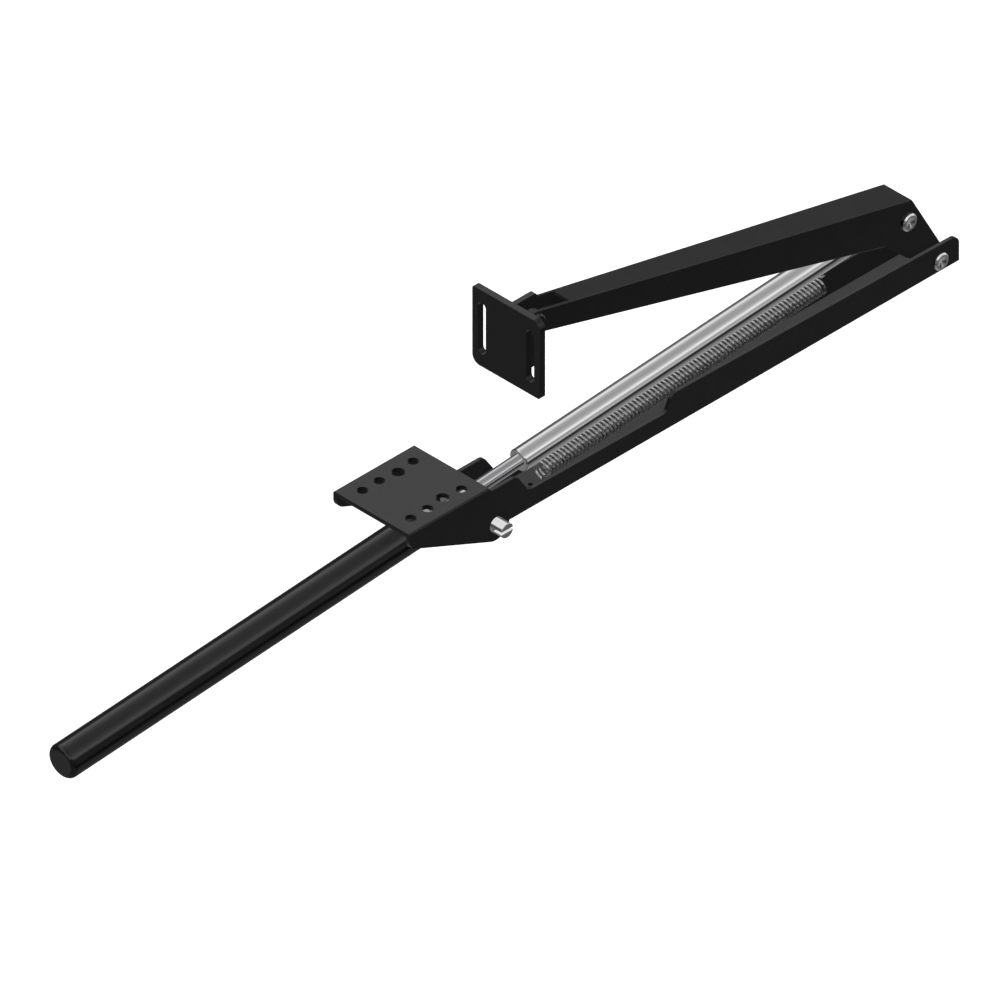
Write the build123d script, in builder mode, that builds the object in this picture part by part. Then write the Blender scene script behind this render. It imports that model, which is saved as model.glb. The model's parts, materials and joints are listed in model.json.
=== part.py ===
from build123d import *
import os
from math import asin, atan2, cos, pi, radians, sin, tan

# Automatic greenhouse vent opener.
# A wax cylinder pushes a rod and a chromed tube, the tube turns a tapered lift arm
# on the far end of a folded base channel, and a long spring pulls the arm closed.
#
# Millimetres. X runs along the channel from the closed end of the cylinder to the arm pivot,
# Z is up, and Y = 0 is the mid-plane. The origin is in the top face of the sill bracket,
# at the centre of its hole pattern. The arm stands as far open as in the photograph.

os.makedirs("parts", exist_ok=True)

# Overall
overall_length = 495.0      # as printed, to where the end of the cylinder starts to round
channel_reach = 274.6       # trunnion axis to the far end of the channel
running_fit = 0.05          # radial clearance of a shaft that turns or slides
side_gap = 0.2              # clearance beside a sheet that swings past another

# Sill bracket, an upside-down U of sheet steel
bracket_length = 45.0
bracket_span = 41.0         # between the middles of the two flanges
bracket_sheet = 2.1
bracket_bend = 0.9
bracket_setback = 0.2       # plate centre behind the centre of the holes
hole_pitch = 9.5
hole_rows = 27.2
hole_columns = (-1.5, -0.5, 1.5)   # columns of screw holes, in pitches from the middle
screw_hole = 4.9
coach_column = 0.5          # the column of larger holes, set in from the rows
coach_hole = 5.9
coach_inset = 1.1
flange_lobe = 7.75
flange_heel_depth = 7.0
flange_heel_radius = 5.2

# Trunnion pins
trunnion_x = 25.9
trunnion_drop = 19.1
pin_diameter = 6.8
pin_stub = 6.4
pin_slot_width = 1.4
pin_slot_depth = 4.6
pin_edge = 0.2
spacer_wall = 1.6

# Base channel, an upright U of sheet steel; heights are above its underside
pin_height = 13.4
channel_width = 20.2
channel_sheet = 1.7
channel_bend = 0.6
ear_lobe = 6.0
ear_heel = 1.0
ear_reach = 23.2
ear_foot = 30.0
ear_corner = 4.0
low_wall_near = 9.25
low_wall_far = 8.35
step_foot = 107.6
step_top = 111.6
step_foot_radius = 2.0
step_top_radius = 4.0
high_wall_near = 15.9
high_wall_far = 12.9
floor_reach = 259.4
channel_corner = 4.2
floor_hole = 2.2
floor_hole_reach = 40.9

# Cylinder and its yoke, on an axis that climbs towards the arm
axis_tilt = 4.18
axis_rise = 0.8             # axis above the trunnion axis
cylinder_diameter = 15.5
cylinder_wall = 1.6
cylinder_end_wall = 2.2
cylinder_end_radius = 2.3
cylinder_mouth = 23.2       # mouth of the cylinder behind the trunnion axis
nose_flange = 1.5
nose_insert = 12.0
neck_diameter = 10.0
yoke_sheet = 1.8
yoke_lobe = 5.8
yoke_height = 13.0
nut_thickness = 2.5
nut_flats = 12.6
neck_stand = 0.4            # neck showing in front of the nut
bush_diameter = 8.0
bush_length = 13.0

# Piston, rod and push tube
rod_diameter = 6.0
tube_diameter = 10.1
tube_start = 34.2
tube_edge = 0.4
piston_length = 5.0
piston_edge = 0.5
seal_length = 6.0
cup_wall = 1.2
end_clearance = 1.5
eye_spigot = 12.0
eye_collar = 3.0
eye_stem = 15.4             # push pivot past the collar of the eye
eye_height = 7.0
eye_thickness = 6.0
eye_hole = 5.6

# Return spring
spring_diameter = 8.0
spring_wire = 1.0
spring_turns = 75.5
spring_start = 46.5
spring_drop = 11.9          # spring axis below the tube axis
coil_sides = 10
hook_length = 3.5           # hook past the coil, at each end
anchor_back = 21.4          # far hook behind the end of the push tube
anchor_hole = 1.8           # holes for the hooks, in the floor and in the push tube

# Lift arm, an upside-down U that tapers both ways
arm_pivot_x = 263.8
arm_pivot_z = 5.2
push_reach = 247.4          # push pivot along the cylinder axis
vent_pivot_x = 39.0
vent_pivot_z = 84.3
arm_sheet = 1.4
arm_bend = 0.4
arm_width_pivot = 16.4
arm_width_vent = 11.1
arm_lobe = 5.1
pivot_lobe = 5.1
shoulder_ahead = 2.7        # top corner of the arm, from the push pivot
shoulder_rise = 8.9
elbow_behind = 12.2         # bottom corner of the arm, from the push pivot
elbow_drop = 6.8
web_start = 58.3

# Rivets
rivet_diameter = 5.0
head_diameter = 7.9
head_height = 1.3
stud_head_height = 2.1
head_edge = 0.6             # chamfer round a rivet head
head_dimple = 2.4
dimple_depth = 0.8
spacer_edge = 0.6           # hinge spacers inside the round tip of the arm

# Vent plate
vent_plate_width = 38.0
vent_plate_height = 37.0
vent_plate_sheet = 3.1
vent_plate_face = 27.1
vent_plate_centre = 77.7
vent_plate_corner = 4.0     # two opposite corners, and the other two
vent_plate_point = 1.0
slot_length = 25.0
slot_width = 4.4
slot_spacing = 27.2
tongue_sheet = 2.5
tongue_reach = 43.4
tongue_top = 94.6
tongue_drop = 24.7          # foot of the tongue below the vent pivot
tongue_corner = 1.5

# Range of the arm from the pose of the photograph, in degrees
arm_closing = 8.0
arm_opening = 65.0
slide_per_degree = 0.521

# Worked out from the sizes above
trunnion_z = -trunnion_drop
underside = trunnion_z - pin_height
bracket_width = bracket_span + bracket_sheet
bracket_inside = bracket_span - bracket_sheet
bracket_left = -bracket_setback - bracket_length / 2
bracket_right = bracket_left + bracket_length
channel_inside = channel_width - 2 * channel_sheet
ear_top = pin_height + ear_lobe
tilt = radians(axis_tilt)
cylinder_radius = cylinder_diameter / 2
bore_radius = cylinder_radius - cylinder_wall
rod_radius = rod_diameter / 2
tube_radius = tube_diameter / 2
rivet_radius = rivet_diameter / 2
slide_in = arm_closing * slide_per_degree
slide_out = arm_opening * slide_per_degree
tube_stop = push_reach - eye_stem - eye_collar

# The spring: its near end, measured along the cylinder axis, its height and its two hooks
coil_reach = spring_start / cos(tilt) - spring_drop * sin(tilt)
coil_height = trunnion_z + axis_rise + spring_start * tan(tilt) - spring_drop
floor_below = (coil_height - underside) / cos(tilt)
floor_hook_reach = spring_start + (coil_height - underside) * tan(tilt)
anchor_reach = tube_stop - anchor_back
coil_length = anchor_reach - hook_length / 2 - coil_reach


def at(x, height):
    """A point of a side view, from the trunnion axis and the underside of the channel."""
    return (trunnion_x + x, underside + height)


# The cylinder axis. On this plane X is along the axis and Y is square to it, upwards.
axis_side = Plane(
    origin=(trunnion_x, 0, trunnion_z + axis_rise),
    x_dir=(cos(tilt), 0, sin(tilt)),
    z_dir=(0, -1, 0),
)
axis_line = Axis(axis_side.origin, axis_side.x_dir)
trunnion_on_axis = axis_side.to_local_coords(Vector(trunnion_x, 0, trunnion_z))


def axis_face(distance):
    """The plane square to the cylinder axis, at a distance past the trunnion axis."""
    centre = axis_side.origin + axis_side.x_dir * distance
    return Plane(origin=centre, x_dir=(0, 1, 0), z_dir=axis_side.x_dir)


def turned_on_axis(*corners):
    """Revolves an outline, given as distances along the axis and radii, about the axis."""
    with BuildSketch(axis_side) as half:
        with BuildLine():
            Polyline(*corners, close=True)
        make_face()
    revolve(half.sketch, axis=axis_line)


def lobed_outline(centre, radius, *corners):
    """The taut outline round a disc and some corner points."""
    with BuildSketch(Plane.XY) as outline:
        with BuildLine():
            Polyline(*corners)
        with Locations(centre):
            Circle(radius)
        make_hull()
    return outline.sketch


def corner_near(sketch, point):
    """The corner of a sketch that lies nearest to a point."""
    return sketch.vertices().sort_by_distance(Vector(*point))[0]


def cross_bore(centre, radius):
    """Cuts a round hole across the whole width of the part being made."""
    with BuildSketch(Plane.XZ) as hole:
        with Locations(centre):
            Circle(radius)
    extrude(hole.sketch, amount=bracket_width, both=True, mode=Mode.SUBTRACT)


# Sill bracket: a plate with two rows of screw holes, folded down into two lobed flanges
with BuildPart() as sill_bracket:
    with BuildSketch(Plane.YZ.offset(bracket_left)) as fold:
        flange_depth = trunnion_drop + flange_lobe
        with Locations((0, -flange_depth / 2)):
            Rectangle(bracket_width, flange_depth)
        fillet(fold.vertices().group_by(Axis.Y)[-1], bracket_bend)
        with Locations((0, -bracket_sheet)):
            Rectangle(bracket_inside, flange_depth, align=(Align.CENTER, Align.MAX), mode=Mode.SUBTRACT)
    extrude(amount=trunnion_x + flange_lobe - bracket_left)
    with BuildSketch(Plane.XZ) as flange:
        heel = (bracket_left, -flange_heel_depth)
        add(
            lobed_outline(
                (trunnion_x, trunnion_z),
                flange_lobe,
                heel,
                (bracket_left, 0),
                (bracket_right, 0),
                (bracket_right, -bracket_sheet),
            )
        )
        fillet(corner_near(flange, heel), flange_heel_radius)
    extrude(amount=bracket_width, both=True, mode=Mode.INTERSECT)
    with BuildSketch(Plane.XY):
        for column in hole_columns:
            with Locations((column * hole_pitch, 0)):
                with GridLocations(1, hole_rows, 1, 2):
                    Circle(screw_hole / 2)
        with Locations((coach_column * hole_pitch, 0)):
            with GridLocations(1, hole_rows - 2 * coach_inset, 1, 2):
                Circle(coach_hole / 2)
    extrude(amount=-bracket_sheet, mode=Mode.SUBTRACT)
    cross_bore((trunnion_x, trunnion_z), pin_diameter / 2 + running_fit)

sill_bracket.part.label = "sill_bracket"
export_step(sill_bracket.part, "parts/sill_bracket.step")

# Base channel: ears round the trunnion pins, walls that step up under the arm and taper,
# and an open end where the foot of the arm swings
with BuildPart() as base_channel:
    with BuildSketch(Plane.YZ.offset(trunnion_x - ear_lobe)) as fold:
        with Locations((0, underside)):
            Rectangle(channel_width, ear_top, align=(Align.CENTER, Align.MIN))
        fillet(fold.vertices().group_by(Axis.Y)[0], channel_bend)
        with Locations((0, underside + channel_sheet)):
            Rectangle(channel_inside, ear_top, align=(Align.CENTER, Align.MIN), mode=Mode.SUBTRACT)
    extrude(amount=ear_lobe + channel_reach)
    with BuildSketch(Plane.XZ) as wall:
        add(
            lobed_outline(
                (trunnion_x, trunnion_z),
                ear_lobe,
                at(ear_heel, 0),
                at(ear_foot, 0),
                at(ear_foot, low_wall_near),
                at(ear_reach, ear_top),
            )
        )
        with BuildLine():
            Polyline(
                at(ear_heel, 0),
                at(channel_reach, 0),
                at(channel_reach, high_wall_far),
                at(step_top, high_wall_near),
                at(step_foot, low_wall_far),
                at(ear_foot, low_wall_near),
                close=True,
            )
        make_face()
        fillet(corner_near(wall, at(ear_reach, ear_top)), ear_corner)
        fillet(corner_near(wall, at(ear_foot, low_wall_near)), ear_corner)
        fillet(corner_near(wall, at(step_foot, low_wall_far)), step_foot_radius)
        fillet(corner_near(wall, at(step_top, high_wall_near)), step_top_radius)
        fillet(corner_near(wall, at(channel_reach, high_wall_far)), channel_corner)
    extrude(amount=channel_width, both=True, mode=Mode.INTERSECT)
    with BuildSketch(Plane.XY.offset(underside)):
        with Locations((trunnion_x + floor_reach, 0)):
            Rectangle(channel_reach, channel_inside, align=(Align.MIN, Align.CENTER))
        with Locations((trunnion_x + floor_hole_reach, 0)):
            Circle(floor_hole / 2)
        with Locations((trunnion_x + floor_hook_reach, 0)):
            Circle(anchor_hole / 2)
    extrude(amount=channel_sheet, mode=Mode.SUBTRACT)
    cross_bore((trunnion_x, trunnion_z), pin_diameter / 2)
    cross_bore(at(arm_pivot_x, arm_pivot_z), rivet_radius)

base_channel.part.label = "base_channel"
export_step(base_channel.part, "parts/base_channel.step")

# Yoke: a bent strap that carries the cylinder between the ears of the channel
yoke_outside = channel_inside - 2 * running_fit
yoke_inside = yoke_outside - 2 * yoke_sheet
yoke_back = nose_flange - cylinder_mouth

with BuildPart() as cylinder_yoke:
    with BuildSketch(axis_side):
        add(
            lobed_outline(
                (trunnion_on_axis.X, trunnion_on_axis.Y),
                yoke_lobe,
                (yoke_back, yoke_height / 2),
                (yoke_back, -yoke_height / 2),
                (yoke_back + yoke_sheet, -yoke_height / 2),
                (yoke_back + yoke_sheet, yoke_height / 2),
            )
        )
    extrude(amount=yoke_outside / 2, both=True)
    with BuildSketch(axis_face(yoke_back + yoke_sheet)):
        Rectangle(yoke_inside, 2 * yoke_height)
    extrude(amount=cylinder_mouth + yoke_lobe, mode=Mode.SUBTRACT)
    with BuildSketch(axis_face(yoke_back)):
        Circle(neck_diameter / 2)
    extrude(amount=yoke_sheet, mode=Mode.SUBTRACT)
    cross_bore((trunnion_x, trunnion_z), pin_diameter / 2)

cylinder_yoke.part.label = "cylinder_yoke"
export_step(cylinder_yoke.part, "parts/cylinder_yoke.step")

# Trunnion pins: slotted studs from the yoke out through ear, spacer and flange
with BuildPart() as trunnion_pins:
    pin_face = bracket_width / 2 + pin_stub
    with BuildSketch(Plane.XZ.offset(yoke_inside / 2)):
        with Locations((trunnion_x, trunnion_z)):
            Circle(pin_diameter / 2)
    extrude(amount=pin_face - yoke_inside / 2)
    chamfer(trunnion_pins.faces().sort_by(Axis.Y)[0].edges(), pin_edge)
    with BuildSketch(Plane.XZ.offset(pin_face)):
        with Locations((trunnion_x, trunnion_z)):
            Rectangle(2 * pin_diameter, pin_slot_width)
    extrude(amount=-pin_slot_depth, mode=Mode.SUBTRACT)
    mirror(about=Plane.XZ)

trunnion_pins.part.label = "trunnion_pins"
export_step(trunnion_pins.part, "parts/trunnion_pins.step")

# Pivot spacers: tubes that keep the channel in the middle of the bracket
with BuildPart() as pivot_spacers:
    with BuildSketch(Plane.XZ.offset(channel_width / 2)):
        with Locations((trunnion_x, trunnion_z)):
            Circle(pin_diameter / 2 + spacer_wall)
            Circle(pin_diameter / 2, mode=Mode.SUBTRACT)
    extrude(amount=(bracket_inside - channel_width) / 2 - side_gap)
    mirror(about=Plane.XZ)

pivot_spacers.part.label = "pivot_spacers"
export_step(pivot_spacers.part, "parts/pivot_spacers.step")

# Cylinder: a drawn black tube with a closed, rounded end
cylinder_span = overall_length + cylinder_end_radius - channel_reach
cylinder_end = cylinder_end_radius + (
    cylinder_span - cylinder_end_radius - (cylinder_radius - cylinder_end_radius) * sin(tilt)
) / cos(tilt)
bore_end = cylinder_end - cylinder_end_wall

with BuildPart() as cylinder_tube:
    turned_on_axis(
        (-cylinder_mouth, bore_radius),
        (-cylinder_mouth, cylinder_radius),
        (-cylinder_end, cylinder_radius),
        (-cylinder_end, 0),
        (-bore_end, 0),
        (-bore_end, bore_radius),
    )
    end_face = cylinder_tube.faces().sort_by(axis_line)[0]
    fillet(end_face.edges(), cylinder_end_radius)

cylinder_tube.part.label = "cylinder_tube"
export_step(cylinder_tube.part, "parts/cylinder_tube.step")

# Nose: a flanged plug in the mouth of the cylinder, with a neck through the yoke
nose_back = -cylinder_mouth - nose_insert
neck_front = yoke_back + yoke_sheet + nut_thickness + neck_stand
bush_front = nose_back + bush_length
rod_hole = rod_radius + side_gap

with BuildPart() as cylinder_nose:
    turned_on_axis(
        (nose_back, bush_diameter / 2),
        (nose_back, bore_radius),
        (-cylinder_mouth, bore_radius),
        (-cylinder_mouth, cylinder_radius),
        (yoke_back, cylinder_radius),
        (yoke_back, neck_diameter / 2),
        (neck_front, neck_diameter / 2),
        (neck_front, rod_hole),
        (bush_front, rod_hole),
        (bush_front, bush_diameter / 2),
    )

cylinder_nose.part.label = "cylinder_nose"
export_step(cylinder_nose.part, "parts/cylinder_nose.step")

# Guide bush: the bearing of the rod, inside the nose
with BuildPart() as guide_bush:
    with BuildSketch(axis_face(nose_back)):
        Circle(bush_diameter / 2)
        Circle(rod_radius + running_fit, mode=Mode.SUBTRACT)
    extrude(amount=bush_length)

guide_bush.part.label = "guide_bush"
export_step(guide_bush.part, "parts/guide_bush.step")

# Lock nut: clamps the yoke to the nose
with BuildPart() as lock_nut:
    with BuildSketch(axis_face(yoke_back + yoke_sheet)):
        RegularPolygon(nut_flats / 2, 6, major_radius=False, rotation=30)
        Circle(neck_diameter / 2, mode=Mode.SUBTRACT)
    extrude(amount=nut_thickness)

lock_nut.part.label = "lock_nut"
export_step(lock_nut.part, "parts/lock_nut.step")

# Piston, seal and wax. The wax is drawn cold, at the length that it has with the arm closed
piston_front = nose_back - slide_out - end_clearance
piston_back = piston_front - piston_length
seal_back = piston_back - seal_length
wax_front = seal_back - slide_in - end_clearance / 3

with BuildPart() as piston_head:
    with BuildSketch(axis_face(piston_back)):
        Circle(bore_radius - running_fit)
    extrude(amount=piston_length)
    chamfer(piston_head.edges(), piston_edge)

piston_head.part.label = "piston_head"
export_step(piston_head.part, "parts/piston_head.step")

with BuildPart() as piston_seal:
    turned_on_axis(
        (piston_back, 0),
        (piston_back, bore_radius - running_fit),
        (seal_back, bore_radius - running_fit),
        (seal_back, bore_radius - running_fit - cup_wall),
        (piston_back - 2 * cup_wall, bore_radius - running_fit - 2 * cup_wall),
        (piston_back - 2 * cup_wall, 0),
    )

piston_seal.part.label = "piston_seal"
export_step(piston_seal.part, "parts/piston_seal.step")

with BuildPart() as wax_charge:
    with BuildSketch(axis_face(-bore_end)):
        Circle(bore_radius)
    extrude(amount=bore_end + wax_front)

wax_charge.part.label = "wax_charge"
export_step(wax_charge.part, "parts/wax_charge.step")

# Piston rod: from the piston through the nose and the push tube to the eye
eye_back = tube_stop - eye_spigot

with BuildPart() as piston_rod:
    with BuildSketch(axis_face(piston_front)):
        Circle(rod_radius)
    extrude(amount=eye_back - piston_front)

piston_rod.part.label = "piston_rod"
export_step(piston_rod.part, "parts/piston_rod.step")

# Push tube: slides over the rod, with a hole underneath for the hook of the spring
tube_bore = rod_radius + running_fit

with BuildPart() as push_tube:
    turned_on_axis(
        (tube_start, tube_bore),
        (tube_start, tube_radius),
        (tube_stop, tube_radius),
        (tube_stop, tube_bore),
    )
    rim = push_tube.edges().group_by(axis_line)[0].sort_by(SortBy.RADIUS)[-1]
    chamfer(rim, tube_edge)
    anchor_side = axis_face(anchor_reach)
    with BuildSketch(Plane(origin=anchor_side.origin, x_dir=(0, 1, 0), z_dir=-axis_side.y_dir)):
        Circle(anchor_hole / 2)
    extrude(amount=tube_diameter, mode=Mode.SUBTRACT)

push_tube.part.label = "push_tube"
export_step(push_tube.part, "parts/push_tube.step")

# Push eye: plugs the far end of the tube and takes the push pivot of the arm
with BuildPart() as push_eye:
    with BuildSketch(axis_face(eye_back)):
        Circle(tube_bore)
    extrude(amount=eye_spigot)
    with BuildSketch(axis_face(tube_stop)):
        Circle(tube_radius)
    extrude(amount=eye_collar)
    with BuildSketch(axis_side):
        with BuildLine():
            Polyline((tube_stop + eye_collar, -eye_height / 2), (tube_stop + eye_collar, eye_height / 2))
        with Locations((push_reach, 0)):
            Circle(eye_height / 2)
        make_hull()
        with Locations((push_reach, 0)):
            Circle(eye_hole / 2, mode=Mode.SUBTRACT)
    extrude(amount=eye_thickness / 2, both=True)

push_eye.part.label = "push_eye"
export_step(push_eye.part, "parts/push_eye.step")

# Return spring: one hook goes down through the floor of the channel and one up into the tube.
# X is across, Y is square to the coil, upwards, and Z is along it.
coil_plane = Plane(
    origin=(trunnion_x + spring_start, 0, coil_height),
    x_dir=(0, 1, 0),
    z_dir=axis_side.x_dir,
)
coil_radius = (spring_diameter - spring_wire) / 2
wire_side = spring_wire * (pi / 4) ** 0.5
coil_to_rod = spring_drop * cos(tilt) - rod_radius

with BuildPart() as return_spring:
    floor_hook = [
        (0, -floor_below - spring_wire, 2 * spring_wire),
        (0, -floor_below - spring_wire, 0),
    ]
    turns = [
        (
            coil_radius * sin(2 * pi * step / coil_sides),
            -coil_radius * cos(2 * pi * step / coil_sides),
            coil_length * step / coil_sides / spring_turns,
        )
        for step in range(round(spring_turns * coil_sides) + 1)
    ]
    tube_hook = [
        (0, coil_radius, coil_length + hook_length / 2),
        (0, coil_to_rod - spring_wire / 2, coil_length + hook_length / 2),
    ]
    with BuildLine(coil_plane) as wire:
        Polyline(*floor_hook, *turns, *tube_hook)
    with BuildSketch(Plane(origin=wire.line @ 0, z_dir=wire.line % 0)):
        Rectangle(wire_side, wire_side)
    sweep(transition=Transition.RIGHT)

return_spring.part.label = "return_spring"
export_step(return_spring.part, "parts/return_spring.step")

# Lift arm
vent_pivot = at(vent_pivot_x, vent_pivot_z)
arm_pivot = at(arm_pivot_x, arm_pivot_z)
push_centre = axis_side.from_local_coords(Vector(push_reach, 0, 0))
push_pivot = (push_centre.X, push_centre.Z)
arm_flare = (arm_width_pivot - arm_width_vent) / 2 / (arm_pivot_x - vent_pivot_x)
shoulder = (push_pivot[0] + shoulder_ahead, push_pivot[1] + shoulder_rise)
elbow = (push_pivot[0] - elbow_behind, push_pivot[1] - elbow_drop)
web_run = Vector(shoulder[0] - vent_pivot[0], vent_pivot[1] - shoulder[1])
web_slope = atan2(web_run.Y, web_run.X) + asin(arm_lobe / web_run.length)


def half_width(x):
    """Half the outside width of the arm at a distance from the trunnion axis."""
    return arm_width_vent / 2 + arm_flare * (x - vent_pivot_x)


def web_height(x):
    """Height of the arm's top face above the underside of the channel."""
    return vent_pivot_z + arm_lobe / cos(web_slope) - (x - vent_pivot_x) * tan(web_slope)


def arm_plan(inset):
    """The tapering plan of the arm, each wall drawn in by an inset."""
    start = vent_pivot_x - 2 * arm_lobe
    stop = arm_pivot_x + 2 * pivot_lobe
    with BuildSketch(Plane.XY.offset(underside)) as plan:
        with BuildLine():
            Polyline(
                (trunnion_x + start, half_width(start) - inset),
                (trunnion_x + stop, half_width(stop) - inset),
                (trunnion_x + stop, inset - half_width(stop)),
                (trunnion_x + start, inset - half_width(start)),
                close=True,
            )
        make_face()
    return plan.sketch


with BuildPart() as arm_hollow:
    add(arm_plan(arm_sheet))
    extrude(amount=2 * vent_pivot_z)
    with BuildSketch(Plane.XZ):
        web_drop = arm_sheet / cos(web_slope)
        start = vent_pivot_x - 2 * arm_lobe
        stop = arm_pivot_x + 2 * pivot_lobe
        with BuildLine():
            Polyline(
                at(start, 0),
                at(start, 2 * vent_pivot_z),
                at(web_start, 2 * vent_pivot_z),
                at(web_start, web_height(web_start) - web_drop),
                at(stop, web_height(stop) - web_drop),
                at(stop, 0),
                close=True,
            )
        make_face()
    extrude(amount=channel_width, both=True, mode=Mode.INTERSECT)

with BuildPart() as lift_arm:
    add(arm_plan(0))
    extrude(amount=2 * vent_pivot_z)
    with BuildSketch(Plane.XZ):
        add(lobed_outline(vent_pivot, arm_lobe, shoulder, elbow))
        add(lobed_outline(arm_pivot, pivot_lobe, shoulder, elbow))
    extrude(amount=channel_width, both=True, mode=Mode.INTERSECT)
    web_face = lift_arm.faces().filter_by(GeomType.PLANE).sort_by(lambda face: face.normal_at().Z)[-1]
    fillet(web_face.edges().sort_by(SortBy.LENGTH)[-2:], arm_bend)
    add(arm_hollow.part, mode=Mode.SUBTRACT)
    cross_bore(vent_pivot, rivet_radius)
    cross_bore(push_pivot, rivet_radius)
    cross_bore(arm_pivot, rivet_radius + running_fit)

lift_arm.part.label = "lift_arm"
export_step(lift_arm.part, "parts/lift_arm.step")


def rivet_head(centre, face, height):
    """A flat rivet head with a chamfered edge and a dimple, standing on a face at -Y."""
    side = Plane(origin=(centre[0], 0, centre[1]), x_dir=(1, 0, 0), z_dir=(0, 0, 1))
    with BuildSketch(side) as half:
        with BuildLine():
            Polyline(
                (0, -face),
                (head_diameter / 2, -face),
                (head_diameter / 2, -face - height + head_edge),
                (head_diameter / 2 - head_edge, -face - height),
                (head_dimple, -face - height),
                (0, -face - height + dimple_depth),
                close=True,
            )
        make_face()
    revolve(half.sketch, axis=Axis((centre[0], 0, centre[1]), (0, 1, 0)))


def rivet_shank(centre, start, stop):
    """A plain shank from one distance before the mid-plane to another."""
    with BuildSketch(Plane.XZ.offset(start)) as disc:
        with Locations(centre):
            Circle(rivet_radius)
    extrude(disc.sketch, amount=stop - start)


# Arm pivot rivet: across the far end of the channel, through the foot of the arm
with BuildPart() as arm_pivot_rivet:
    rivet_head(arm_pivot, channel_width / 2, head_height)
    rivet_shank(arm_pivot, 0, channel_width / 2)
    mirror(about=Plane.XZ)

arm_pivot_rivet.part.label = "arm_pivot_rivet"
export_step(arm_pivot_rivet.part, "parts/arm_pivot_rivet.step")

# Push pivot studs: one in each wall of the arm, where the eye of the tube pushes
push_x = push_pivot[0] - trunnion_x
push_wall = half_width(push_x + head_diameter / 2)

with BuildPart() as push_pivot_studs:
    rivet_head(push_pivot, push_wall, stud_head_height)
    rivet_shank(push_pivot, push_wall - arm_sheet - 2 * side_gap, push_wall)
    mirror(about=Plane.XZ)

push_pivot_studs.part.label = "push_pivot_studs"
export_step(push_pivot_studs.part, "parts/push_pivot_studs.step")

# Vent hinge rivet: through the tip of the arm and the tongue of the vent plate
vent_wall = half_width(vent_pivot_x + head_diameter / 2)

with BuildPart() as vent_hinge_rivet:
    rivet_head(vent_pivot, vent_wall, head_height)
    rivet_shank(vent_pivot, 0, vent_wall)
    mirror(about=Plane.XZ)

vent_hinge_rivet.part.label = "vent_hinge_rivet"
export_step(vent_hinge_rivet.part, "parts/vent_hinge_rivet.step")

# Hinge spacers: washers that fill the arm on each side of the tongue
spacer_radius = arm_lobe - spacer_edge
spacer_start = tongue_sheet / 2 + side_gap / 2
spacer_stop = half_width(vent_pivot_x - spacer_radius) - arm_sheet

with BuildPart() as hinge_spacers:
    with BuildSketch(Plane.XZ.offset(spacer_start)):
        with Locations(vent_pivot):
            Circle(spacer_radius)
            Circle(rivet_radius, mode=Mode.SUBTRACT)
    extrude(amount=spacer_stop - spacer_start)
    mirror(about=Plane.XZ)

hinge_spacers.part.label = "hinge_spacers"
export_step(hinge_spacers.part, "parts/hinge_spacers.step")

# Vent plate: two upright slots for the screws of the vent
plate_x = trunnion_x + vent_plate_face

with BuildPart() as vent_plate:
    with BuildSketch(Plane.YZ.offset(plate_x)) as plate:
        with Locations((0, underside + vent_plate_centre)):
            Rectangle(vent_plate_width, vent_plate_height)
        diagonal = Axis((0, 0, 0), (1, -1, 0))
        fillet(plate.vertices().sort_by(diagonal)[1:3], vent_plate_point)
        corners = plate.vertices().sort_by(diagonal)
        fillet([corners[0], corners[-1]], vent_plate_corner)
        with Locations((0, underside + vent_plate_centre)):
            with GridLocations(slot_spacing, 1, 2, 1):
                SlotOverall(slot_length, slot_width, rotation=90, mode=Mode.SUBTRACT)
    extrude(amount=vent_plate_sheet)

vent_plate.part.label = "vent_plate"
export_step(vent_plate.part, "parts/vent_plate.step")

# Vent tongue: welded behind the plate, between the walls of the arm
with BuildPart() as vent_tongue:
    back = vent_plate_face + vent_plate_sheet
    foot_height = vent_pivot_z - tongue_drop
    with BuildSketch(Plane.XZ) as tongue:
        with BuildLine():
            Polyline(
                at(back, foot_height),
                at(tongue_reach, foot_height),
                at(tongue_reach, tongue_top),
                at(back, tongue_top),
                close=True,
            )
        make_face()
        fillet(tongue.vertices().group_by(Axis.X)[-1], tongue_corner)
        with Locations(vent_pivot):
            Circle(rivet_radius + running_fit, mode=Mode.SUBTRACT)
    extrude(amount=tongue_sheet / 2, both=True)

vent_tongue.part.label = "vent_tongue"
export_step(vent_tongue.part, "parts/vent_tongue.step")
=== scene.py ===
import json
import math

import bpy
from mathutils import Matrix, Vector


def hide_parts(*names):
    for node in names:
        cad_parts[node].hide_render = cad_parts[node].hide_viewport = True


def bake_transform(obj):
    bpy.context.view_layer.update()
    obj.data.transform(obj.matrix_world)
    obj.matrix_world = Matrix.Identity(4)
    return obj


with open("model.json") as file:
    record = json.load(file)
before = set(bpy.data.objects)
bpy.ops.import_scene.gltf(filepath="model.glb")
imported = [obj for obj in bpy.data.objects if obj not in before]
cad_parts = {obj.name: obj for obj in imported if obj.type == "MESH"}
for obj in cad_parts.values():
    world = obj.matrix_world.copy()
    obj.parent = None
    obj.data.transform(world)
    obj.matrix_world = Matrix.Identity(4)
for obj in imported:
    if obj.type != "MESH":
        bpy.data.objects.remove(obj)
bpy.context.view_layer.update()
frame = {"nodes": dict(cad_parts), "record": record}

nodes = frame["nodes"]
scene = bpy.context.scene

# Camera: the isometric angle of the photograph, from far away through a long lens. With a longer lens the
# part would lie beyond the far clipping distance of the other views.
picture_pixels = 1000
pixels_per_metre = 2506.0
view_centre = Vector((0.05219, 0.00254, -0.03242))
view_direction = Vector((1, 1, -1)).normalized()
lens_mm = 1700.0
sensor_mm = 36.0
nearest_sight = 0.02
farthest_sight_share = 10


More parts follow.
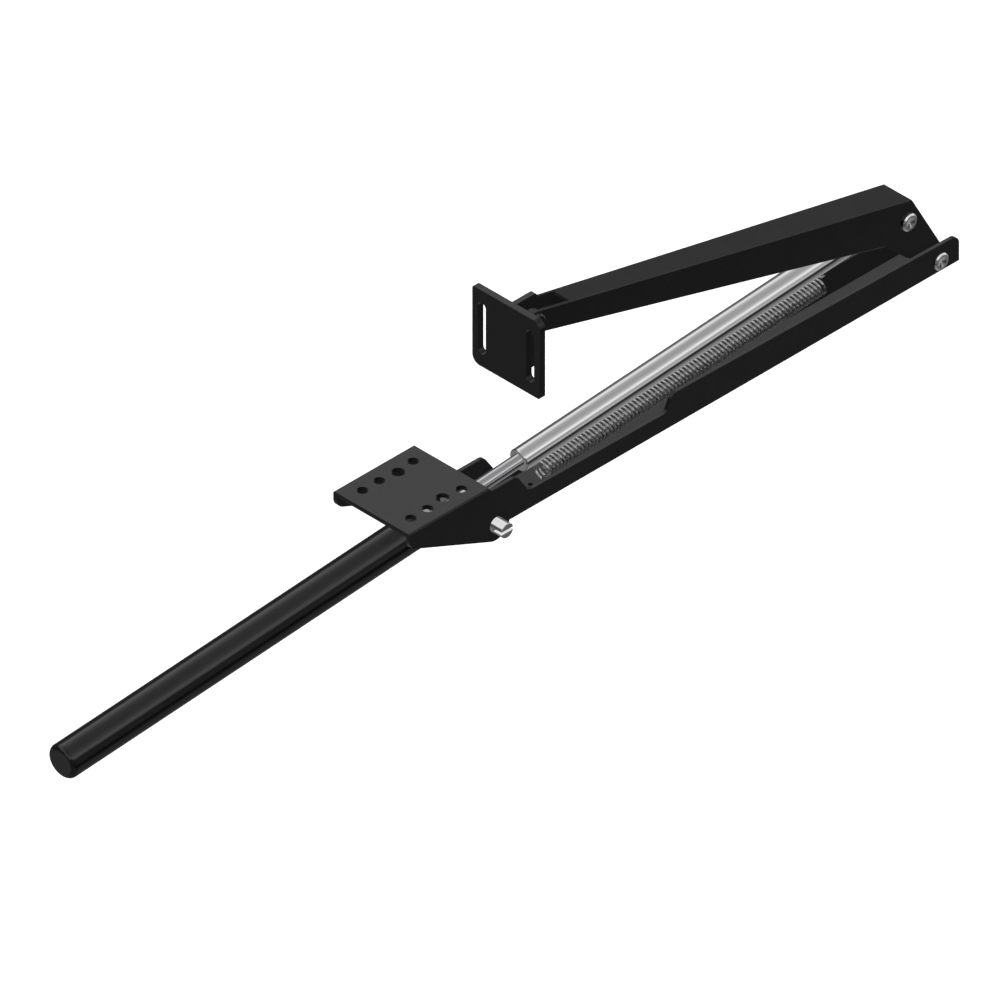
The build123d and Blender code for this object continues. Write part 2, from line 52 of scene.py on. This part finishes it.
def make_camera():
    data = bpy.data.cameras.new("camera")
    data.lens = lens_mm
    data.sensor_width = sensor_mm
    camera = bpy.data.objects.new("camera", data)
    scene.collection.objects.link(camera)
    width = picture_pixels / pixels_per_metre
    distance = width * lens_mm / sensor_mm
    camera.location = view_centre - view_direction * distance
    camera.rotation_mode = "QUATERNION"
    camera.rotation_quaternion = view_direction.to_track_quat("-Z", "Y")
    data.clip_start = nearest_sight
    data.clip_end = distance * farthest_sight_share
    scene.camera = camera


# Materials: most values of a noise lie between the two noise limits
noise_low = 0.3
noise_high = 0.7
bevel_samples = 6
drawn_grain = (30, 1, 1)
edge_turned = 0.8
edge_flat = 0.995
metal_shade = 0.94
metal_smooth_share = 0.8
metal_rough_share = 1.2
metal_blotch_size = 0.0025
metal_smudge_size = 0.0012
metal_grain_size = 0.0004
metal_grain_depth = 0.000004
solid_shade = 0.8
solid_rough_share = 0.9


def grey(level, tint=(1, 1, 1)):
    return tuple(level * t for t in tint)


class Shader:
    """A node material with a few ready-made parts: noise, ramps, a bevelled normal and a bump."""

    def __init__(self, name):
        self.material = bpy.data.materials.new(name)
        self.material.use_nodes = True
        self.tree = self.material.node_tree
        self.principled = self.tree.nodes["Principled BSDF"]
        self.place = self.node("ShaderNodeTexCoord").outputs["Object"]

    def node(self, kind, **settings):
        made = self.tree.nodes.new(kind)
        for name, value in settings.items():
            setattr(made, name, value)
        return made

    def link(self, source, target):
        self.tree.links.new(source, target)

    def put(self, socket, value):
        self.principled.inputs[socket].default_value = value

    def surface(self, colour, roughness, normal):
        """Links what varies over the surface to the shader."""
        for socket, value in (("Base Color", colour), ("Roughness", roughness), ("Normal", normal)):
            self.link(value, self.principled.inputs[socket])

    def noise(self, size, stretch=(1, 1, 1), detail=3.0):
        """Noise whose blotches are about size metres across, longer along the stretched axes."""
        mapping = self.node("ShaderNodeMapping")
        mapping.inputs["Scale"].default_value = [1 / (size * s) for s in stretch]
        self.link(self.place, mapping.inputs["Vector"])
        noise = self.node("ShaderNodeTexNoise")
        noise.inputs["Scale"].default_value = 1.0
        noise.inputs["Detail"].default_value = detail
        self.link(mapping.outputs["Vector"], noise.inputs["Vector"])
        return noise.outputs["Fac"]

    def spread(self, value, low, high, start=noise_low, stop=noise_high):
        """Maps a value from start and stop to low and high."""
        mapped = self.node("ShaderNodeMapRange")
        mapped.inputs["From Min"].default_value = start
        mapped.inputs["From Max"].default_value = stop
        mapped.inputs["To Min"].default_value = low
        mapped.inputs["To Max"].default_value = high
        self.link(value, mapped.inputs["Value"])
        return mapped.outputs["Result"]

    def share(self, value, start, stop):
        """How far a value is from start to stop, from 0 to 1."""
        return self.spread(value, 0.0, 1.0, start, stop)

    def mottle(self, noise, darker, lighter, start=noise_low, stop=noise_high):
        """A colour that follows a noise."""
        ramp = self.node("ShaderNodeValToRGB")
        for element, position, colour in zip(ramp.color_ramp.elements, (start, stop), (darker, lighter)):
            element.position = position
            element.color = (*colour, 1)
        self.link(noise, ramp.inputs["Fac"])
        return ramp.outputs["Color"]

    def mix(self, share, first, second):
        """From one colour to another. Each is a plain colour or the output of a node."""
        mix = self.node("ShaderNodeMix", data_type="RGBA")
        self.link(share, mix.inputs["Factor"])
        for socket, colour in (("A", first), ("B", second)):
            if isinstance(colour, tuple):
                mix.inputs[socket].default_value = (*colour, 1)
            else:
                self.link(colour, mix.inputs[socket])
        return mix.outputs["Result"]

    def face_normal(self):
        return self.node("ShaderNodeNewGeometry").outputs["Normal"]

    def rounded(self, radius):
        """The normal with each edge rounded off."""
        bevel = self.node("ShaderNodeBevel", samples=bevel_samples)
        bevel.inputs["Radius"].default_value = radius
        return bevel.outputs["Normal"]

    def flatness(self, rounded):
        """1 on a face, and less near an edge, where the rounded normal turns away from the face's own."""
        facing = self.node("ShaderNodeVectorMath", operation="DOT_PRODUCT")
        self.link(rounded, facing.inputs[0])
        self.link(self.face_normal(), facing.inputs[1])
        return facing.outputs["Value"]

    def sideways(self):
        """1 where the surface faces across the part, 0 where it faces up or along."""
        split = self.node("ShaderNodeSeparateXYZ")
        self.link(self.face_normal(), split.inputs[0])
        size = self.node("ShaderNodeMath", operation="ABSOLUTE")
        self.link(split.outputs["Y"], size.inputs[0])
        return size.outputs[0]

    def bump(self, height, depth, strength, normal=None):
        """A bump of a height map, depth metres deep, over a rounded normal."""
        bump = self.node("ShaderNodeBump")
        bump.inputs["Strength"].default_value = strength
        bump.inputs["Distance"].default_value = depth
        self.link(height, bump.inputs["Height"])
        if normal is not None:
            self.link(normal, bump.inputs["Normal"])
        return bump.outputs["Normal"]


def powder_coat():
    """Satin black powder coat: a fine orange peel, faintly cloudy, worn a little paler at the edges."""
    shader = Shader("powder_coat")
    cloudy = shader.mottle(shader.noise(size=0.012), grey(0.0082), grey(0.01, tint=(1, 1, 1.04)))
    rounded = shader.rounded(radius=0.00012)
    wear = shader.spread(shader.flatness(rounded), low=0.2, high=0.0, start=edge_turned, stop=edge_flat)
    shader.put("Specular IOR Level", 0.33)
    shader.surface(
        colour=shader.mix(wear, cloudy, (0.045, 0.045, 0.047)),
        roughness=shader.spread(shader.noise(size=0.004), low=0.15, high=0.21),
        normal=shader.bump(shader.noise(size=0.0006), depth=0.00002, strength=0.1, normal=rounded),
    )
    return shader.material


def satin_black():
    """The smoother black of the cylinder, with faint marks along it from drawing."""
    shader = Shader("satin_black")
    drawn = shader.noise(size=0.002, stretch=(12, 1, 1))
    scratches = shader.noise(size=0.0008, stretch=(6, 1, 1))
    shader.put("Specular IOR Level", 0.62)
    shader.surface(
        colour=shader.mottle(shader.noise(size=0.01), grey(0.003), grey(0.004)),
        roughness=shader.spread(drawn, low=0.11, high=0.16),
        normal=shader.bump(scratches, depth=0.00001, strength=0.08),
    )
    return shader.material


def bright_metal(name, level, rough, grain=(1, 1, 1), scratch=0.05, tint=(1, 1, 1)):
    """Bright bare or plated metal with a fine grain."""
    shader = Shader(name)
    blotches = shader.noise(metal_blotch_size, grain)
    smudges = shader.noise(metal_smudge_size, grain)
    fine = shader.noise(metal_grain_size, grain, detail=1.0)
    shader.put("Metallic", 1.0)
    shader.surface(
        colour=shader.mottle(blotches, grey(level * metal_shade, tint), grey(level, tint)),
        roughness=shader.spread(smudges, low=rough * metal_smooth_share, high=rough * metal_rough_share),
        normal=shader.bump(fine, metal_grain_depth, scratch, shader.rounded(radius=0.0002)),
    )
    return shader.material


def rivet_steel():
    """Plated rivet heads, bright on the face and with the black of the sheet up their sides."""
    shader = Shader("rivet_steel")
    on_face = shader.share(shader.sideways(), start=0.3, stop=0.6)
    bright = shader.mottle(shader.noise(metal_blotch_size), grey(0.8), grey(0.86))
    shader.put("Metallic", 1.0)
    shader.surface(
        colour=shader.mix(on_face, grey(0.02), bright),
        roughness=shader.spread(shader.noise(metal_smudge_size), low=0.13, high=0.19),
        normal=shader.bump(shader.noise(metal_grain_size), metal_grain_depth, strength=0.05),
    )
    return shader.material


def spring_wire():
    """Plated wire, bright where the coil faces up, with mottled painted shade below and the far hook painted
    black as shade.
    """
    shader = Shader("spring_steel")
    height = shader.node("ShaderNodeAttribute", attribute_name=height_attribute).outputs["Fac"]
    is_upper = shader.share(height, start=0.48, stop=0.62)
    # Painted shade: the far hook, with its low height, is painted near black.
    is_coil = shader.share(height, start=-3.0, stop=-2.0)
    # Painted shade: the coil's lower side is painted a mottled dark grey.
    painted_shade_below = shader.mottle(shader.noise(size=0.0007), grey(0.09), grey(0.33), start=0.42, stop=0.6)
    bright = shader.mottle(shader.noise(size=0.002), grey(0.5), grey(0.58))
    shader.put("Metallic", 1.0)
    shader.surface(
        colour=shader.mix(is_coil, grey(0.015), shader.mix(is_upper, painted_shade_below, bright)),
        roughness=shader.spread(is_upper, low=0.4, high=0.2, start=0.0, stop=1.0),
        normal=shader.bump(shader.noise(size=0.0003), depth=0.000005, strength=0.2),
    )
    return shader.material


def plain_solid(name, colour, rough, size=0.001):
    """A dull inner material with a fine mottle."""
    shader = Shader(name)
    darker = tuple(c * solid_shade for c in colour)
    shader.surface(
        colour=shader.mottle(shader.noise(size), darker, colour),
        roughness=shader.spread(shader.noise(size * 2), low=rough * solid_rough_share, high=rough),
        normal=shader.bump(shader.noise(size / 2), depth=0.00002, strength=0.2),
    )
    return shader.material


def make_materials():
    return {
        "black_steel": powder_coat(),
        "black_cylinder": satin_black(),
        "plated_steel": bright_metal("plated_steel", level=0.78, rough=0.16),
        "rivet_steel": rivet_steel(),
        "chrome_tube": bright_metal("chrome_tube", level=0.8, rough=0.07, grain=drawn_grain, scratch=0.03),
        "chrome_rod": bright_metal(
            "chrome_rod", level=0.58, rough=0.08, grain=drawn_grain, scratch=0.03, tint=(1, 0.99, 1.02)
        ),
        "spring_steel": spring_wire(),
        "bronze_bush": bright_metal("bronze_bush", level=0.6, rough=0.35, tint=(1, 0.75, 0.42)),
        "piston_metal": bright_metal("piston_metal", level=0.7, rough=0.3),
        "seal_rubber": plain_solid("seal_rubber", grey(0.02), rough=0.6),
        "wax": plain_solid("wax", (0.7, 0.6, 0.38), rough=0.45),
    }


# Nodes of the record's plated steel whose heads show against the black sheet
riveted = ("arm_pivot_rivet", "push_pivot_studs")


def dress_nodes(materials):
    """Gives each solid its material. As in the photograph, the pieces don't mirror each other."""
    slots = {part["node"]: part["material_slot"] for part in frame["record"]["subparts"]}
    for name, node in nodes.items():
        dress = "rivet_steel" if name in riveted else slots[name]
        node.data.materials.clear()
        node.data.materials.append(materials[dress])
        node.visible_glossy = False


# Return spring: round wire in place of the ten-sided coil of the solids. Heights over the coil's axis are in
# outer radii.
spring_start = Vector((0.0724, 0.0, -0.026802))
spring_tilt = math.radians(4.18)
coil_radius = 0.0035
wire_radius = 0.0005
coil_turns = 78.5
coil_length = 0.160093
near_hook_lead = 0.002
near_hook_reach = 0.006713
far_hook_lead = 0.001747
far_hook_reach = 0.008368
hook_bend = 0.0007
steps_per_turn = 28
wire_sides = 8
hook_bend_steps = 6
height_attribute = "coil_height"
height_lean = 0.15
first_turn_length = 0.0024
first_turn_height = 1.0
# Low, so that the far hook is painted black as shade.
far_hook_height = -4.0


def spring_path():
    """Points of the wire's middle line in the coil's own frame, with a hook at each end."""
    coil = []
    for step in range(round(coil_turns * steps_per_turn) + 1):
        turn = step / steps_per_turn
        angle = 2 * math.pi * turn
        along = coil_length * turn / coil_turns
        coil.append(Vector((coil_radius * math.sin(angle), -coil_radius * math.cos(angle), along)))
    near = [Vector((0, -near_hook_reach, near_hook_lead)), Vector((0, -near_hook_reach, 0))]
    end = coil_length + far_hook_lead
    far = [Vector((0, coil_radius, end)), Vector((0, far_hook_reach, end))]
    return bent(near + coil[:1]) + coil[1:-1] + bent(coil[-1:] + far)


def bent(points):
    """Three or more corner points with the inner ones turned into arcs of about a wire's width."""
    path = [points[0]]
    for before, corner, after in zip(points, points[1:], points[2:]):
        start = corner + (before - corner).normalized() * hook_bend
        stop = corner + (after - corner).normalized() * hook_bend
        for step in range(hook_bend_steps + 1):
            share = step / hook_bend_steps
            path.append(start.lerp(corner, share).lerp(corner.lerp(stop, share), share))
    path.append(points[-1])
    return path


def sweep(points, radius, sides):
    """Vertices and faces of a round wire along the points, with closed ends."""
    vertices = []
    faces = []
    side = Vector((0, 0, 1))
    for index, point in enumerate(points):
        before = points[max(index - 1, 0)]
        after = points[min(index + 1, len(points) - 1)]
        direction = (after - before).normalized()
        side = (side - direction * side.dot(direction)).normalized()
        across = direction.cross(side)
        for corner in range(sides):
            angle = 2 * math.pi * corner / sides
            vertices.append(point + (side * math.cos(angle) + across * math.sin(angle)) * radius)
    for ring in range(len(points) - 1):
        for corner in range(sides):
            a = ring * sides + corner
            b = ring * sides + (corner + 1) % sides
            faces.append((a, b, b + sides, a + sides))
    faces.append(tuple(reversed(range(sides))))
    faces.append(tuple(range(len(vertices) - sides, len(vertices))))
    return vertices, faces


def wire_height(place, forward, aim):
    """Height over the coil's axis, which sets the wire's painted shade, but the same for the whole first
    turn, and low for the far hook so that it is painted black as shade.
    """
    along = place.dot(forward)
    height = place.dot(aim)
    if along < first_turn_length:
        return first_turn_height
    if along > coil_length and height > 1.0:
        return far_hook_height
    return height


def make_spring(materials):
    forward = Vector((math.cos(spring_tilt), 0, math.sin(spring_tilt)))
    upward = Vector((-math.sin(spring_tilt), 0, math.cos(spring_tilt)))
    sideways = Vector((0, 1, 0))
    points = [
        spring_start + sideways * p.x + upward * p.y + forward * p.z
        for p in spring_path()
    ]
    vertices, faces = sweep(points, wire_radius, wire_sides)
    mesh = bpy.data.meshes.new("spring_wire")
    mesh.from_pydata(vertices, [], faces)
    aim = (upward + sideways * height_lean) / (coil_radius + wire_radius)
    height = mesh.attributes.new(height_attribute, "FLOAT", "POINT")
    height.data.foreach_set("value", [wire_height(v - spring_start, forward, aim) for v in vertices])
    mesh.polygons.foreach_set("use_smooth", [True] * len(mesh.polygons))
    mesh.materials.append(materials["spring_steel"])
    spring = bpy.data.objects.new("spring_wire", mesh)
    scene.collection.objects.link(spring)
    spring.visible_glossy = False
    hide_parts("return_spring")
    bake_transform(spring)


# Studio: a pale floor below the swing of the part, a pale room and soft lamps. What the metal mirrors is a
# tent of grey panels round the part's long axis, with darker cards inside it and the white room in its gaps.
floor_height = -0.25
floor_span = 6.0
floor_grey = 0.5
floor_white = 0.72
room_light = 0.45
room_white = 1.0
tent_floor = -0.245
tent_radius = 2.4
tent_length = 16.0
tent_step = 3
panel_spans = ((-174, 42), (50, 145), (151, 186))
card_inset = 0.98
cylinder_card_edge = 0.02
cylinder_card_slope = 0.62
arm_card_slope = 0.95

# Turn from the back horizon over the top in degrees, and grey level of the panel there
panel_levels = (
    (-180, 0.52), (-174, 0.44), (-168, 0.2), (-163, 0.05), (-154, 0.02), (-146, 0.03), (-138, 0.12),
    (-120, 0.22), (-100, 0.29), (-80, 0.35), (-45, 0.19), (-20, 0.13), (0, 0.13), (14, 0.15), (20, 0.2),
    (25, 0.3), (30, 0.56), (34, 0.85), (38, 1.0), (54, 1.0), (58, 0.85), (64, 0.65), (71, 0.5),
    (80, 0.43), (106, 0.4), (117, 0.45), (128, 0.56), (134, 0.66), (143, 1.0), (152, 1.0),
    (157, 0.76), (163, 0.46),
)

# Name, place, size and watts
lamps = (
    ("overhead", (0.05, 0.0, 1.6), (1.6, 1.0), 22),
    ("back_box", (1.4, 1.4, 1.0), (1.4, 0.8), 10),
)
lamp_target = Vector((0.05, 0, 0))


def show_surface(tree, shader, output="ShaderNodeOutputMaterial"):
    made = tree.nodes.new(output)
    tree.links.new(shader, made.inputs["Surface"])


def larger(tree, first, second):
    made = tree.nodes.new("ShaderNodeMath")
    made.operation = "MAXIMUM"
    tree.links.new(first, made.inputs[0])
    tree.links.new(second, made.inputs[1])
    return made.outputs[0]


def ray_mix(tree, seen, lit):
    """A shader that shows one thing to the eye, metal and glass, and lights with another."""
    path = tree.nodes.new("ShaderNodeLightPath").outputs
    mirrored = larger(tree, path["Is Camera Ray"], path["Is Glossy Ray"])
    mix = tree.nodes.new("ShaderNodeMixShader")
    tree.links.new(larger(tree, mirrored, path["Is Transmission Ray"]), mix.inputs["Fac"])
    tree.links.new(lit, mix.inputs[1])
    tree.links.new(seen, mix.inputs[2])
    return mix.outputs["Shader"]


def make_stage(name, vertices, faces):
    mesh = bpy.data.meshes.new(name)
    mesh.from_pydata(vertices, [], faces)
    piece = bpy.data.objects.new(name, mesh)
    scene.collection.objects.link(piece)
    material = bpy.data.materials.new(name)
    material.use_nodes = True
    material.node_tree.nodes.clear()
    mesh.materials.append(material)
    return piece, material.node_tree


def make_floor():
    h = floor_span / 2
    corners = [(-h, -h, floor_height), (h, -h, floor_height), (h, h, floor_height), (-h, h, floor_height)]
    _, tree = make_stage("floor", corners, [(0, 1, 2, 3)])
    diffuse = tree.nodes.new("ShaderNodeBsdfDiffuse")
    diffuse.inputs["Color"].default_value = (*grey(floor_grey), 1)
    white = tree.nodes.new("ShaderNodeEmission")
    white.inputs["Strength"].default_value = floor_white
    pale = tree.nodes.new("ShaderNodeAddShader")
    tree.links.new(white.outputs[0], pale.inputs[0])
    tree.links.new(diffuse.outputs[0], pale.inputs[1])
    show_surface(tree, ray_mix(tree, pale.outputs[0], diffuse.outputs[0]))


def make_world():
    world = bpy.data.worlds.new("studio")
    scene.world = world
    world.use_nodes = True
    tree = world.node_tree
    tree.nodes.clear()
    lights = []
    for strength in (room_white, room_light):
        light = tree.nodes.new("ShaderNodeBackground")
        light.inputs["Color"].default_value = (1, 1, 1, 1)
        light.inputs["Strength"].default_value = strength
        lights.append(light.outputs[0])
    show_surface(tree, ray_mix(tree, *lights), "ShaderNodeOutputWorld")


def near_end(reach):
    return -tent_length / 2


def far_end(reach):
    return tent_length / 2


def past_cylinder(reach):
    """Beyond this line along the part, only other pieces than the cylinder mirror the tent."""
    return cylinder_card_edge + cylinder_card_slope * reach


def before_arm(reach):
    """Beyond this line along the part, only the top of the arm mirrors the tent."""
    return arm_card_slope * reach


# Name, first and last turn in degrees, grey level, and the two lines along the part between which it lies
cards = (
    ("card_front", 159, 198, 0.14, near_end, past_cylinder),
    ("card_under", -120, -60, 0.14, near_end, past_cylinder),
    ("card_behind", -18, 24, 0.07, near_end, past_cylinder),
    ("card_arm", 12, 39, 0.22, before_arm, far_end),
)


def tent_reach(angle):
    """The tent's distance from the part's long axis: round above, and flat where it meets its floor."""
    if math.sin(angle) < 0:
        return min(tent_radius, tent_floor / math.sin(angle))
    return tent_radius


def tent_strip(start, stop, low, high, inset=1.0):
    """Vertices and faces of a strip of the tent from turn to turn, between two lines along the part."""
    vertices = []
    for turn in range(start, stop + 1, tent_step):
        angle = math.radians(turn)
        reach = tent_reach(angle)
        for x in (low(reach), high(reach)):
            vertices.append((x, reach * math.cos(angle) * inset, reach * math.sin(angle) * inset))
    faces = [(n, n + 1, n + 3, n + 2) for n in range(0, len(vertices) - 2, 2)]
    return vertices, faces


def show_only_in_gloss(piece):
    piece.visible_camera = False
    piece.visible_diffuse = False
    piece.visible_transmission = False
    piece.visible_shadow = False


def panel_colour(tree):
    """The grey levels of the panels over the turn round the part's long axis."""
    place = tree.nodes.new("ShaderNodeTexCoord")
    split = tree.nodes.new("ShaderNodeSeparateXYZ")
    tree.links.new(place.outputs["Object"], split.inputs[0])
    turn = tree.nodes.new("ShaderNodeMath")
    turn.operation = "ARCTAN2"
    tree.links.new(split.outputs["Z"], turn.inputs[0])
    tree.links.new(split.outputs["Y"], turn.inputs[1])
    share = tree.nodes.new("ShaderNodeMapRange")
    share.inputs["From Min"].default_value = -math.pi
    share.inputs["From Max"].default_value = math.pi
    tree.links.new(turn.outputs[0], share.inputs["Value"])
    ramp = tree.nodes.new("ShaderNodeValToRGB")
    elements = ramp.color_ramp.elements
    while len(elements) < len(panel_levels):
        elements.new(0.5)
    for element, (degrees, level) in zip(elements, panel_levels):
        element.position = (degrees + 180) / 360
        element.color = (*grey(level), 1)
    tree.links.new(share.outputs["Result"], ramp.inputs["Fac"])
    return ramp.outputs["Color"]


def make_panels():
    """Grey panels above, behind, before and below, with the white room in the gaps between them."""
    vertices = []
    faces = []
    for start, stop in panel_spans:
        corners, quads = tent_strip(start, stop, near_end, far_end)
        faces += [tuple(n + len(vertices) for n in quad) for quad in quads]
        vertices += corners
    panels, tree = make_stage("panels", vertices, faces)
    glow = tree.nodes.new("ShaderNodeEmission")
    tree.links.new(panel_colour(tree), glow.inputs["Color"])
    show_surface(tree, glow.outputs[0])
    show_only_in_gloss(panels)


def make_cards():
    """Darker cards where only the cylinder or only the top of the arm mirrors them."""
    for name, start, stop, level, low, high in cards:
        card, tree = make_stage(name, *tent_strip(start, stop, low, high, card_inset))
        glow = tree.nodes.new("ShaderNodeEmission")
        glow.inputs["Color"].default_value = (*grey(level), 1)
        show_surface(tree, glow.outputs[0])
        show_only_in_gloss(card)


def make_lamps():
    for name, place, (length, width), power in lamps:
        data = bpy.data.lights.new(name, "AREA")
        data.shape = "RECTANGLE"
        data.size = length
        data.size_y = width
        data.energy = power
        lamp = bpy.data.objects.new(name, data)
        lamp.location = place
        lamp.rotation_mode = "QUATERNION"
        lamp.rotation_quaternion = (lamp_target - Vector(place)).to_track_quat("-Z", "Y")
        lamp.visible_glossy = False
        lamp.visible_camera = False
        scene.collection.objects.link(lamp)


scene.view_settings.view_transform = "Standard"
make_camera()
materials = make_materials()
dress_nodes(materials)
make_spring(materials)
make_floor()
make_world()
make_panels()
make_cards()
make_lamps()
